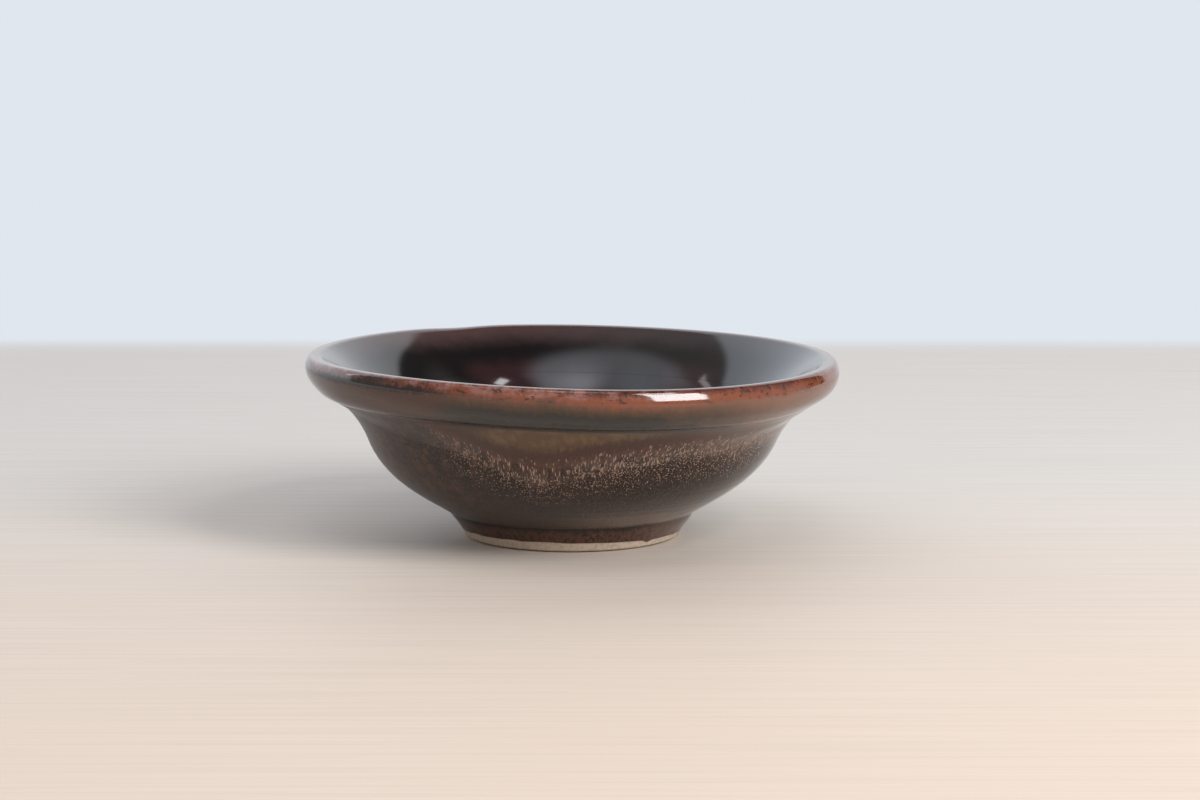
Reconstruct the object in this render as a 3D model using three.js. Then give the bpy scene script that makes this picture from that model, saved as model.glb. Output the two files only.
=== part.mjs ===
// A wheel-thrown stoneware pinch bowl with a rolled, flared lip, a concave neck and a turned foot.
// Units are millimetres and +Z is up. The origin is the centre of the foot, on the surface it stands on.
// The clay body is one solid of revolution. Three coats of glaze lie over it as thin shells: a liner
// inside, a base coat outside, and a second dip over the lip that runs down the wall in a swag.
// Angles round the bowl are "turns": degrees from the front (-Y) towards the right (+X).
import * as THREE from "three";

// Clay lip
const RIM_RADIUS = 44.05; // at its widest
const HEIGHT = 29.75; // top of the lip
const EDGE_RADIUS = 0.9; // rounding of the top edge
const EDGE_TURN = 125; // degrees from the widest point, over the top, to the slope inside
const ROLL_RADIUS = 4.3; // fuller rounding under the widest point
const ROLL_TURN = 77; // degrees from the widest point down to the crease
const CREASE_SLOPE = 29; // degrees above level, where the neck meets the crease
const CREASE_REACH = 2.9; // how far the neck keeps that slope

// Hand-made unevenness of the lip, which grows from nothing on the belly to all of it at the crease
const LIP_LEAN = 1.3; // how much lower the lip stands on the right than on the left
const LIP_TWIST = 0.17; // height of a wave that comes twice round the lip
const LIP_RIPPLE = 0.14; // and of one that comes three times
const LEAN_START = 10; // height at which it begins

// Clay wall
const LIP_FLARE = 10.05; // how far the lip stands out past the waist
const WAIST_DROP = 7.8; // the waist, where the wall is steepest, below the crease
const WAIST_SLOPE = 66.5;
const NECK_REACH = 4.2; // how far the wall keeps its steepest slope above the waist
const BELLY_REACH = 6.6; // and below it
const WALL = 2.8; // thickness at the waist, measured level

// Clay foot
const FOOT_RADIUS = 18.05; // where it stands
const FOOT_TOP_RADIUS = 20.3; // where it meets the belly
const FOOT_HEIGHT = 4.8;
const FOOT_CHAMFER = 0.35; // on both edges of the ring it stands on
const FOOT_RING = 3.4; // width of that ring
const FOOT_RECESS = 2.2; // depth of the turned hollow under the floor
const RECESS_DRAFT = 1.2; // how far the hollow's side leans in
const BELLY_SLOPE = 33.5; // where the belly leaves the foot
const BELLY_RISE = 5.0; // how far the belly keeps that slope

// Clay inside
const LIP_INSIDE_REACH = 4.0; // how far the inside keeps its slope below the lip
const THROAT_DROP = 12.3; // the inside's steepest point, below the top of the lip
const THROAT_SLOPE = 66;
const THROAT_REACH = 6.0; // how far the inside keeps that slope, up and down
const FLOOR = 3.8; // thickness at the centre
const FLOOR_REACH = 16; // how far the floor stays level

// Glaze
const COAT = 0.5; // liner and base coat
const LIP_COAT = 0.35; // second dip
const BOND = 0.05; // clearance between one layer and the next
const COAT_EDGE = 0.15; // thickness where a coat ends
const COAT_TAPER = 0.9; // length over which the base coat thins towards the foot
const RUN_TAPER = 4.0; // length over which the second dip thins towards its edges
const BUTT_GAP = 0.3; // between the liner and the base coat, on top of the lip
const BARE_BAND = 1.3; // bare clay above the foot's edge, measured up its side
const BARE_TILT = 0.6; // how much more shows on the side that it tilts to
const BARE_TURN = -25;
const RUN_FRONT = 10.5; // how far the second dip runs below the crease where it runs furthest
const RUN_BACK = 2.5; // and where it runs least
const RUN_TURN = 6; // where it runs furthest
const RUN_NARROWING = 3; // a larger power makes the swag narrower
const LIP_COAT_INSIDE = 5.5; // how far the second dip reaches inside from the top of the lip

// Facets round the bowl, and along each stretch of its outline
const COLUMNS = 48;
const STEPS = { bare: 2, wall: 9, run: 4, roll: 5, edge: 3, inside: 6, floor: 9 };

const radians = THREE.MathUtils.degToRad;
const point = (radius, height) => new THREE.Vector2(radius, height);

// A point reached from another by a straight move at a slope in degrees.
function moved(from, slope, distance) {
  return point(Math.cos(radians(slope)), Math.sin(radians(slope))).multiplyScalar(distance).add(from);
}

// The clay's outline from the foot's outer edge, up the outside, over the lip and in to the floor's centre.
const edgeCentre = point(RIM_RADIUS - EDGE_RADIUS, HEIGHT - EDGE_RADIUS);
const rollCentre = point(RIM_RADIUS - ROLL_RADIUS, edgeCentre.y);
const crease = moved(rollCentre, -ROLL_TURN, ROLL_RADIUS);
const waist = point(RIM_RADIUS - LIP_FLARE, crease.y - WAIST_DROP);
const footTop = point(FOOT_TOP_RADIUS, FOOT_HEIGHT);
const edgeEnd = moved(edgeCentre, EDGE_TURN, EDGE_RADIUS);
const throat = point(waist.x - WALL, HEIGHT - THROAT_DROP);
const floorCentre = point(0, FOOT_RECESS + FLOOR);

function arc(centre, radius, from, to) {
  return new THREE.EllipseCurve(centre.x, centre.y, radius, radius, radians(from), radians(to));
}

function outlineOfClay() {
  const outline = new THREE.CurvePath();
  const insideSlope = EDGE_TURN + 90;
  const intoThroat = moved(throat, THROAT_SLOPE, THROAT_REACH);
  const outOfThroat = moved(throat, THROAT_SLOPE, -THROAT_REACH);
  outline.add(new THREE.LineCurve(point(FOOT_RADIUS, FOOT_CHAMFER), footTop));
  outline.add(new THREE.CubicBezierCurve(
    footTop, moved(footTop, BELLY_SLOPE, BELLY_RISE), moved(waist, WAIST_SLOPE, -BELLY_REACH), waist,
  ));
  outline.add(new THREE.CubicBezierCurve(
    waist, moved(waist, WAIST_SLOPE, NECK_REACH), moved(crease, CREASE_SLOPE, -CREASE_REACH), crease,
  ));
  outline.add(arc(rollCentre, ROLL_RADIUS, -ROLL_TURN, 0));
  outline.add(arc(edgeCentre, EDGE_RADIUS, 0, EDGE_TURN));
  outline.add(new THREE.CubicBezierCurve(
    edgeEnd, moved(edgeEnd, insideSlope, LIP_INSIDE_REACH), intoThroat, throat,
  ));
  outline.add(new THREE.CubicBezierCurve(
    throat, outOfThroat, point(FLOOR_REACH, floorCentre.y), floorCentre,
  ));
  return outline;
}

const outline = outlineOfClay();
const [, , creaseAt, widestAt, , , floorAt] = outline.getCurveLengths();
const topAt = widestAt + EDGE_RADIUS * radians(90);

// The point a given distance along the outline, lifted off the clay by a given height.
function surfaceAt(along, lift) {
  const share = THREE.MathUtils.clamp(along / floorAt, 0, 1);
  const tangent = outline.getTangent(share);
  return outline.getPoint(share).add(point(tangent.y, -tangent.x).multiplyScalar(lift));
}

// Where the bare band ends and where the second dip's run ends, along the outline, at a turn.
function glazeLineAt(turn) {
  return BARE_BAND + BARE_TILT * Math.cos(radians(turn - BARE_TURN));
}

function runLineAt(turn) {
  const swing = (1 + Math.cos(radians(turn - RUN_TURN))) / 2;
  return creaseAt - RUN_BACK - (RUN_FRONT - RUN_BACK) * swing ** RUN_NARROWING;
}

// Distances along the outline in even steps through a row of marks, each stretch with its own count.
function stationsThrough(marks, counts) {
  const stations = [marks[0]];
  counts.forEach((count, stretch) => {
    const [from, to] = [marks[stretch], marks[stretch + 1]];
    for (let step = 1; step <= count; step += 1) stations.push(from + ((to - from) * step) / count);
  });
  return stations;
}

const insideRunAt = topAt + LIP_COAT_INSIDE;

function lipOutsideStations(turn) {
  return stationsThrough(
    [runLineAt(turn), creaseAt, widestAt, topAt],
    [STEPS.run, STEPS.roll, STEPS.edge],
  );
}

function wallStations(turn) {
  const belowRun = stationsThrough([glazeLineAt(turn), runLineAt(turn)], [STEPS.wall]).slice(0, -1);
  return [...belowRun, ...lipOutsideStations(turn)];
}

function lipInsideStations() {
  return stationsThrough([topAt + BUTT_GAP, insideRunAt], [STEPS.inside]);
}

function linerStations() {
  return [...lipInsideStations(), ...stationsThrough([insideRunAt, floorAt], [STEPS.floor]).slice(1)];
}

// A coat's thickness some distance in from where it ends.
function thicknessFrom(distance, full, taper) {
  return COAT_EDGE + (full - COAT_EDGE) * THREE.MathUtils.smoothstep(distance, 0, taper);
}

// The underside from the hollow's centre out to the ring that the bowl stands on.
function undersideOfFoot() {
  const ringInside = FOOT_RADIUS - FOOT_RING;
  return [
    point(0, FOOT_RECESS),
    point(ringInside - RECESS_DRAFT, FOOT_RECESS),
    point(ringInside, FOOT_CHAMFER),
    point(ringInside + FOOT_CHAMFER, 0),
    point(FOOT_RADIUS - FOOT_CHAMFER, 0),
  ];
}

function clayLoop(turn) {
  const bare = stationsThrough([0, glazeLineAt(turn)], [STEPS.bare]).slice(0, -1);
  const stations = [...bare, ...wallStations(turn), ...linerStations()];
  return [...undersideOfFoot(), ...stations.map((along) => surfaceAt(along, 0))];
}

function linerLoop() {
  const stations = linerStations();
  const claySide = [...stations].reverse().map((along) => surfaceAt(along, BOND));
  const openSide = stations.map((along) => surfaceAt(along, BOND + COAT));
  return [...claySide, ...openSide];
}

function wallCoatLoop(turn) {
  const start = glazeLineAt(turn);
  const stations = wallStations(turn);
  const openSide = stations.map(
    (along) => surfaceAt(along, BOND + thicknessFrom(along - start, COAT, COAT_TAPER)),
  );
  const claySide = [...stations].reverse().map((along) => surfaceAt(along, BOND));
  return [...openSide, ...claySide, openSide[0]];
}

function lipCoatLoop(turn) {
  const stations = [...lipOutsideStations(turn), ...lipInsideStations()];
  const under = BOND + COAT + BOND;
  const nearestEnd = (along) => Math.min(along - runLineAt(turn), insideRunAt - along);
  const openSide = stations.map(
    (along) => surfaceAt(along, under + thicknessFrom(nearestEnd(along), LIP_COAT, RUN_TAPER)),
  );
  const coatSide = [...stations].reverse().map((along) => surfaceAt(along, under));
  return [...openSide, ...coatSide, openSide[0]];
}

// How far the hand-made lip stands below true at a turn.
function leanAt(radius, height, turn) {
  const fade = THREE.MathUtils.smoothstep(height, LEAN_START, crease.y);
  const waves = [LIP_LEAN / 2, LIP_TWIST, LIP_RIPPLE];
  const drop = waves.reduce((sum, wave, order) => sum + wave * Math.sin(radians((order + 1) * turn)), 0);
  return drop * fade * (radius / RIM_RADIUS);
}

// A solid of revolution whose section may change as it goes round.
function turned(loopAt) {
  const geometry = new THREE.LatheGeometry(loopAt(0), COLUMNS);
  const position = geometry.getAttribute("position");
  for (let column = 0; column <= COLUMNS; column += 1) {
    const turn = (360 * (column % COLUMNS)) / COLUMNS;
    const loop = loopAt(turn);
    loop.forEach(({ x: radius, y: height }, row) => {
      const across = radius * Math.sin(radians(turn));
      const towardsFront = radius * Math.cos(radians(turn));
      position.setXYZ(column * loop.length + row, across, height - leanAt(radius, height, turn), towardsFront);
    });
  }
  geometry.rotateX(Math.PI / 2);
  geometry.computeVertexNormals();
  return geometry;
}

function piece(name, loopAt, color, roughness) {
  const material = new THREE.MeshStandardMaterial({ color, roughness, metalness: 0 });
  const mesh = new THREE.Mesh(turned(loopAt), material);
  mesh.name = name;
  return mesh;
}

const bowl = new THREE.Group();
bowl.add(piece("clay_body", clayLoop, 0xc9b199, 0.8));
bowl.add(piece("liner_glaze", linerLoop, 0x2b1916, 0.12));
bowl.add(piece("wall_glaze", wallCoatLoop, 0x4a3a30, 0.15));
bowl.add(piece("lip_glaze", lipCoatLoop, 0x7a4029, 0.12));

export default bowl;
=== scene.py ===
import math

import bpy
import numpy as np
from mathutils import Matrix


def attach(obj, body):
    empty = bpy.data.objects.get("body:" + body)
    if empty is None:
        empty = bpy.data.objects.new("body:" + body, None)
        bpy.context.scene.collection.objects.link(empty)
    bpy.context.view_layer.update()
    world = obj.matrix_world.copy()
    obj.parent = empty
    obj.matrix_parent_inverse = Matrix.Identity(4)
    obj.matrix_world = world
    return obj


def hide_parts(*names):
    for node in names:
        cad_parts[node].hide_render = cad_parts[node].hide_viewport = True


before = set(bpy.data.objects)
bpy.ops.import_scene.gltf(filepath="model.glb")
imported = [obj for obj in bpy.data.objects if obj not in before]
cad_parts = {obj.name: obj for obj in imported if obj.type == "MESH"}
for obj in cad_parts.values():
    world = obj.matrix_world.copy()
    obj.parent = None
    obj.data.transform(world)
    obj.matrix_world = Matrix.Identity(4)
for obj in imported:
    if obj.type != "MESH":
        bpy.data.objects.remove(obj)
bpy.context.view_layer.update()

MM = 0.001

# Lengths are in mm, and angles in degrees. Turns go round the bowl from its front towards the right.

# The clay's outline. Its slopes are above the level, and its two turns are the angles of the lip's arcs.
RIM_RADIUS = 44.05
HEIGHT = 29.75
EDGE_RADIUS = 0.9
EDGE_TURN = 125
ROLL_RADIUS = 4.3
ROLL_TURN = 77
CREASE_SLOPE = 29
CREASE_REACH = 2.9
LIP_FLARE = 10.05
WAIST_DROP = 7.8
WAIST_SLOPE = 66.5
NECK_REACH = 4.2
BELLY_REACH = 6.6
BELLY_SLOPE = 33.5
BELLY_RISE = 5.0
WALL = 2.8
LIP_INSIDE_REACH = 4.0
THROAT_DROP = 12.3
THROAT_SLOPE = 66
THROAT_REACH = 6.0
FLOOR = 3.8
FLOOR_REACH = 16
FOOT_RADIUS = 18.05
FOOT_TOP_RADIUS = 20.3
FOOT_HEIGHT = 4.8
FOOT_CHAMFER = 0.35
FOOT_UNDERCUT = 0.9
FOOT_RING = 3.4
FOOT_RECESS = 2.2
RECESS_DRAFT = 1.2
FLOOR_HEIGHT = FOOT_RECESS + FLOOR

# The uneven lip of a bowl thrown by hand: its lean, its waves and a dip in its rim.
LIP_LEAN = 1.3
LIP_TWIST = 0.17
LIP_RIPPLE = 0.14
LEAN_START = 10
DIP_TURN = 209
DIP_DEPTH = 0.24
DIP_SPREAD = 7
DIP_START = 38
DIP_RAMP = 5

# Where the wall is slimmer or fuller than its plan, and how far the foot stands aside of the lip.
ROLL_CUT = 0.19
ROLL_CUT_RIGHT = 0.14
ROLL_CUT_HEIGHT = 2.9
ROLL_CUT_DROP = 1.4
ROLL_CUT_REACH = 1.6
LIP_FLAT = 0.13
LIP_FLAT_HEIGHT = 0.25
LIP_FLAT_REACH = 0.42
LIP_FLAT_TURN = 30
LIP_FLAT_SPREAD = 75
BELLY_FULL = 0.20
BELLY_FULL_HEIGHT = 15
BELLY_FULL_REACH = 8
FOOT_ASIDE = 0.12
FOOT_ASIDE_TOP = 18
FOOT_ASIDE_RAMP = 14

# The coats of glaze. LAYER_GAP keeps one surface clear of the next.
COAT = 0.5
LIP_COAT = 0.355
LAYER_GAP = 0.05
LIP_LAYER_GAP = 0.01
COAT_EDGE = 0.06
COAT_TAPER = 3.2
RUN_EDGE = 0.015
RUN_TAPER = 4.0
BUTT_GAP = 0.3
LIP_COAT_INSIDE = 11.0
BEAD = 0.15
BEAD_HEIGHT = 0.94
BEAD_REACH = 0.31
BEAD_END = 1.2

# The bare band on the foot, with one drip of glaze into it.
BARE_BAND = 1.1
BARE_TILT = 0.6
BARE_TURN = -25
BARE_WOBBLE = 0.14
DRIP_TURN = 42.5
DRIP_LENGTH = 0.45
DRIP_SPREAD = 2.6

# The lower edge of the second dip, and the crystals along it.
RUN_FRONT = 10.5
RUN_BACK = 2.5
RUN_TURN = 6
RUN_NARROWING = 3
RUN_WOBBLE = 0.35
CRYSTAL_RISE = 7.0
CRYSTAL_RISE_TURN = -20
CRYSTAL_RISE_SPREAD = 30
CRYSTAL_RISE_END = -170
CRYSTAL_RISE_END_SPREAD = 60
CRYSTAL_SAG = 2.0
CRYSTAL_SAG_TURN = -9
CRYSTAL_SAG_SPREAD = 11
CRYSTAL_LIFT = 2.3
CRYSTAL_LIFT_TURN = 27
CRYSTAL_LIFT_SPREAD = 20

# Rings left by the fingers and the turning tool.
INSIDE_RING_PITCH = 3.4
INSIDE_RING_DEPTH = 0.05
INSIDE_RING_START = 15
INSIDE_RING_FADE = 8
FLOOR_RING_FADE = 6
OUTSIDE_RING_PITCHES = (1.3, 1.9, 2.9)
OUTSIDE_RING_DEPTH = 0.007
OUTSIDE_RING_START = 1
OUTSIDE_RING_FADE = 3
OUTSIDE_RING_END = 3
OUTSIDE_RING_END_FADE = 4
FOOT_GROOVE_PITCH = 1.9
FOOT_GROOVE_DEPTH = 0.12
FOOT_GROOVE_FADE = 1.0

# How finely the shapes are drawn. FLOOR_CENTRE and RECESS_CENTRE are how near the axis their rings come.
COLUMNS = 480
CURVE_POINTS = 600
OUTLINE_STEP = 0.05
CORNER_BLUR = 0.35
FLOOR_CENTRE = 0.8
RECESS_CENTRE = 0.6
RECESS_ROWS = 54
SHARP_ANGLE = 50

# The radius of the cylinder that the glaze's patterns are laid out on.
PATTERN_RADIUS = 36.0


def heading(degrees):
    """A unit vector in the outline's plane."""
    angle = math.radians(degrees)
    return np.array([math.cos(angle), math.sin(angle)])


def bezier(start, leave, arrive, end):
    t = np.linspace(0.0, 1.0, CURVE_POINTS)[:, None]
    s = 1.0 - t
    return s**3 * start + 3 * s**2 * t * leave + 3 * s * t**2 * arrive + t**3 * end


def arc(centre, radius, first, last):
    angle = np.radians(np.linspace(first, last, CURVE_POINTS))
    return centre + radius * np.column_stack([np.cos(angle), np.sin(angle)])


def smoothstep(value):
    t = np.clip(value, 0.0, 1.0)
    return t * t * (3.0 - 2.0 * t)


def hump(distance, spread):
    """A smooth bump, 1 at no distance."""
    return np.exp(-((distance / spread) ** 2))


def blurred(values, reach):
    """Values along the outline, averaged over a few steps to each side."""
    steps = np.arange(-3 * reach, 3 * reach + 1)
    weights = np.exp(-0.5 * (steps / reach) ** 2)
    padded = np.pad(values, 3 * reach, mode="edge")
    return np.convolve(padded, weights / weights.sum(), mode="valid")


def clay_stretches():
    """The stretches of the clay's outline: foot, belly, neck, roll, edge, throat and floor."""
    edge = np.array([RIM_RADIUS - EDGE_RADIUS, HEIGHT - EDGE_RADIUS])
    roll = np.array([RIM_RADIUS - ROLL_RADIUS, edge[1]])
    crease = roll + ROLL_RADIUS * heading(-ROLL_TURN)
    waist = np.array([RIM_RADIUS - LIP_FLARE, crease[1] - WAIST_DROP])
    foot = np.array([FOOT_RADIUS, FOOT_CHAMFER])
    foot_top = np.array([FOOT_TOP_RADIUS, FOOT_HEIGHT])
    edge_end = edge + EDGE_RADIUS * heading(EDGE_TURN)
    throat = np.array([waist[0] - WALL, HEIGHT - THROAT_DROP])
    floor_edge = np.array([FLOOR_REACH, FLOOR_HEIGHT])
    floor_centre = np.array([0.0, FLOOR_HEIGHT])
    along_waist = heading(WAIST_SLOPE)
    along_throat = heading(THROAT_SLOPE)
    out_of_foot = foot_top + BELLY_RISE * heading(BELLY_SLOPE)
    into_crease = crease - CREASE_REACH * heading(CREASE_SLOPE)
    out_of_edge = edge_end + LIP_INSIDE_REACH * heading(EDGE_TURN + 90)
    return [
        np.linspace(foot, foot_top, CURVE_POINTS),
        bezier(foot_top, out_of_foot, waist - BELLY_REACH * along_waist, waist),
        bezier(waist, waist + NECK_REACH * along_waist, into_crease, crease),
        arc(roll, ROLL_RADIUS, -ROLL_TURN, 0),
        arc(edge, EDGE_RADIUS, 0, EDGE_TURN),
        bezier(edge_end, out_of_edge, throat + THROAT_REACH * along_throat, throat),
        bezier(throat, throat - THROAT_REACH * along_throat, floor_edge, floor_centre),
    ]


class Outline:
    """The clay's outline from the foot's lower edge, up the outside, over the lip and in to the axis."""

    def __init__(self):
        stretches = clay_stretches()
        points = np.vstack([stretches[0]] + [stretch[1:] for stretch in stretches[1:]])
        lengths = np.hypot(*np.diff(points, axis=0).T)
        along = np.concatenate([[0.0], np.cumsum(lengths)])
        ends = np.cumsum([len(stretch) - 1 for stretch in stretches])
        self.foot_top, self.waist, self.crease, self.widest = along[ends[:4]]
        self.top = self.widest + EDGE_RADIUS * math.pi / 2
        self.end = along[-1]
        self.crease_height = points[ends[2], 1]
        self.along = np.arange(0.0, self.end, OUTLINE_STEP)
        self.radius = np.interp(self.along, along, points[:, 0])
        self.height = np.interp(self.along, along, points[:, 1])
        angle = np.unwrap(np.arctan2(np.gradient(self.height), np.gradient(self.radius)))
        angle = blurred(angle, round(CORNER_BLUR / OUTLINE_STEP))
        self.out_radius = np.sin(angle)
        self.out_height = -np.cos(angle)

    def at(self, along, lift):
        """Radius and height of points that stand off the clay by lift."""
        radius = np.interp(along, self.along, self.radius)
        height = np.interp(along, self.along, self.height)
        radius = radius + lift * np.interp(along, self.along, self.out_radius)
        height = height + lift * np.interp(along, self.along, self.out_height)
        return np.maximum(radius, 0.0), height


OUTLINE = Outline()
INSIDE_RUN = OUTLINE.top + LIP_COAT_INSIDE
FLOOR_END = OUTLINE.end - FLOOR_CENTRE
TURNS = np.linspace(0.0, 360.0, COLUMNS, endpoint=False)
TURN_RADIANS = np.radians(TURNS)


def turn_from(degrees):
    """Each column's turn away from a given one, from -180 to 180."""
    return (TURNS - degrees + 180.0) % 360.0 - 180.0


def wobble(seed, slowest, fastest):
    """An uneven line round the bowl, about 1 high, with no seam."""
    draw = np.random.default_rng(seed)
    line = np.zeros(COLUMNS)
    for cycles in range(slowest, fastest + 1):
        line += np.cos(cycles * TURN_RADIANS + draw.uniform(0.0, 2 * math.pi)) / math.sqrt(cycles)
    return line / np.abs(line).max()


def glaze_line():
    """Where the outside glaze ends above the foot, for each column."""
    tilt = BARE_TILT * np.cos(np.radians(turn_from(BARE_TURN)))
    drip = DRIP_LENGTH * hump(turn_from(DRIP_TURN), DRIP_SPREAD)
    return BARE_BAND + tilt + BARE_WOBBLE * wobble(seed=3, slowest=4, fastest=40) - drip


def run_line():
    """Where the second dip ends on the wall, for each column."""
    share = ((1 + np.cos(np.radians(turn_from(RUN_TURN)))) / 2) ** RUN_NARROWING
    uneven = RUN_WOBBLE * wobble(seed=5, slowest=3, fastest=36)
    return OUTLINE.crease - RUN_BACK - (RUN_FRONT - RUN_BACK) * share + uneven


def crystal_line():
    """Where the crystals lie along the second dip's edge, which they leave towards the left."""
    turn = turn_from(0)
    rise = CRYSTAL_RISE * smoothstep((CRYSTAL_RISE_TURN - turn) / CRYSTAL_RISE_SPREAD)
    rise = rise * smoothstep((turn - CRYSTAL_RISE_END) / CRYSTAL_RISE_END_SPREAD)
    sag = CRYSTAL_SAG * hump(turn - CRYSTAL_SAG_TURN, CRYSTAL_SAG_SPREAD)
    lift = CRYSTAL_LIFT * hump(turn - CRYSTAL_LIFT_TURN, CRYSTAL_LIFT_SPREAD)
    return RUN_LINE + rise - sag + lift


GLAZE_LINE = glaze_line()
RUN_LINE = run_line()
CRYSTAL_LINE = crystal_line()


def ridges(along, pitch):
    """A spiral of ridges, from 0 to 1 high."""
    return 0.5 + 0.5 * np.cos(2 * math.pi * along / pitch + TURN_RADIANS)


def relief(along):
    """How far the surface stands out from the plan, the same in every layer."""
    inside = smoothstep((along - OUTLINE.top - INSIDE_RING_START) / INSIDE_RING_FADE)
    inside = inside * smoothstep((OUTLINE.end - along) / FLOOR_RING_FADE)
    outside = smoothstep((along - OUTLINE.foot_top - OUTSIDE_RING_START) / OUTSIDE_RING_FADE)
    outside = outside * smoothstep((OUTLINE.crease - OUTSIDE_RING_END - along) / OUTSIDE_RING_END_FADE)
    inner = ridges(along, INSIDE_RING_PITCH)
    outer = sum(ridges(along, pitch) for pitch in OUTSIDE_RING_PITCHES)
    return throwing_marks(along) - INSIDE_RING_DEPTH * inside * inner - OUTSIDE_RING_DEPTH * outside * outer


def throwing_marks(along):
    """The lip's slim underside, lower on the right, the flat on its face, and the fuller belly."""
    to_right = np.maximum(np.sin(TURN_RADIANS), 0.0)
    roll = hump(along - OUTLINE.crease - ROLL_CUT_HEIGHT + ROLL_CUT_DROP * to_right, ROLL_CUT_REACH)
    flat = hump(along - OUTLINE.widest - LIP_FLAT_HEIGHT, LIP_FLAT_REACH)
    flat = flat * hump(turn_from(LIP_FLAT_TURN), LIP_FLAT_SPREAD)
    belly = hump(along - BELLY_FULL_HEIGHT, BELLY_FULL_REACH)
    return BELLY_FULL * belly - (ROLL_CUT + ROLL_CUT_RIGHT * to_right) * roll - LIP_FLAT * flat


def lean(radius, height):
    """How far the uneven lip sinks below its plan height."""
    wave = LIP_LEAN / 2 * np.sin(TURN_RADIANS)
    wave = wave + LIP_TWIST * np.sin(2 * TURN_RADIANS) + LIP_RIPPLE * np.sin(3 * TURN_RADIANS)
    dip = DIP_DEPTH * hump(turn_from(DIP_TURN), DIP_SPREAD) * smoothstep((radius - DIP_START) / DIP_RAMP)
    share = smoothstep((height - LEAN_START) / (OUTLINE.crease_height - LEAN_START))
    return (wave + dip) * share * radius / RIM_RADIUS


def rings_at(along, lift):
    """Rings of points in metres, one row of the lathe each."""
    radius, height = OUTLINE.at(along, lift + relief(along))
    return ring_points(radius, height, height - lean(radius, height))


def ring_points(radius, plan_height, height):
    """Points round the bowl in metres. The foot stands a little to the left of the lip's centre."""
    aside = -FOOT_ASIDE * smoothstep((FOOT_ASIDE_TOP - plan_height) / FOOT_ASIDE_RAMP)
    across = radius * np.sin(TURN_RADIANS) + aside
    return np.stack([across, -radius * np.cos(TURN_RADIANS), height], axis=-1) * MM


def stations(stops, counts):
    """Rows of distances along the outline that pass each stop, a number or a line round the bowl."""
    lines = [np.broadcast_to(np.asarray(stop, dtype=float), COLUMNS) for stop in stops]
    rows = [lines[0]]
    for start, end, count in zip(lines, lines[1:], counts):
        rows.extend(start + (end - start) * step / count for step in range(1, count + 1))
    return np.array(rows)


def taper(distance, edge, full, length):
    """Thickness of a coat that thins to its edge."""
    return edge + (full - edge) * smoothstep(distance / length)


def quarter_map(rows):
    """Flat places for a lathe's faces: four quarters of the bowl, side by side in two rows."""
    quarter = COLUMNS // 4
    margin = 0.01
    side = 0.5 - 2 * margin
    column = np.arange(COLUMNS)
    left = (column // quarter % 2) * 0.5 + margin
    low = (column // quarter // 2) * 0.5 + margin
    step_u = side / quarter
    step_v = side / (rows + 1)
    u = left + (column % quarter) / quarter * side
    v = low[None, :] + np.arange(rows)[:, None] / (rows + 1) * side
    return np.broadcast_to(u, v.shape), v, step_u, step_v


def quad_map(u, v, step_u, step_v):
    """Flat places for the corners of four-sided faces, each given by its first corner."""
    corners = [(u, v), (u + step_u, v), (u + step_u, v + step_v), (u, v + step_v)]
    return np.stack([np.stack(corner, axis=-1) for corner in corners], axis=1).reshape(-1, 2)


def fan_map(u, v, step_u, step_v, pole_first):
    """Flat places for the triangles round a pole."""
    tip = np.stack([u + step_u / 2, v + step_v], axis=-1)
    near = np.stack([u, v], axis=-1)
    far = np.stack([u + step_u, v], axis=-1)
    order = [tip, far, near] if pole_first else [near, far, tip]
    return np.stack(order, axis=1).reshape(-1, 2)


def ring_faces(index, closed):
    """Four-sided faces from each ring of points to the next, and from the last to the first if closed."""
    if closed:
        index = np.vstack([index, index[:1]])
    beside = np.roll(index, -1, axis=1)
    return np.stack([index[:-1], beside[:-1], beside[1:], index[1:]], axis=-1).reshape(-1, 4)


def lathe(name, rings, along, poles=None):
    """A closed mesh from rings of points. Without a pole at each end, the last ring joins the first."""
    rows = len(rings)
    index = np.arange(rows * COLUMNS).reshape(rows, COLUMNS)
    faces = ring_faces(index, closed=poles is None)
    u, v, step_u, step_v = quarter_map(rows + 1)
    face_rows = slice(1, 1 + len(faces) // COLUMNS)
    uv = [quad_map(u[face_rows].ravel(), v[face_rows].ravel(), step_u, step_v)]
    faces = faces.tolist()
    points = rings.reshape(-1, 3)
    places = place_on_cylinder(along).reshape(-1, 3)
    if poles is not None:
        first, last = len(points), len(points) + 1
        points = np.vstack([points, np.array(poles) * MM])
        places = np.vstack([places, [[0, 0, places[0, 2]], [0, 0, places[-1, 2]]]])
        faces += np.column_stack([np.full(COLUMNS, first), np.roll(index[0], -1), index[0]]).tolist()
        faces += np.column_stack([index[-1], np.roll(index[-1], -1), np.full(COLUMNS, last)]).tolist()
        uv.append(fan_map(u[0], v[0] + step_v, step_u, -step_v, pole_first=True))
        uv.append(fan_map(u[rows], v[rows], step_u, step_v, pole_first=False))
    return mesh_piece(name, points, faces, np.vstack(uv), places)


def mesh_piece(name, points, faces, uv, places):
    mesh = bpy.data.meshes.new(name)
    mesh.from_pydata(points.tolist(), [], faces)
    layer = mesh.uv_layers.new(name="OFBake")
    layer.uv.foreach_set("vector", uv.astype(np.float32).ravel())
    attribute = mesh.attributes.new("place", "FLOAT_VECTOR", "POINT")
    attribute.data.foreach_set("vector", places.astype(np.float32).ravel())
    mesh.shade_smooth()
    mesh.set_sharp_from_angle(angle=math.radians(SHARP_ANGLE))
    mesh.validate()
    piece = bpy.data.objects.new(name, mesh)
    bpy.context.collection.objects.link(piece)
    return piece


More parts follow.
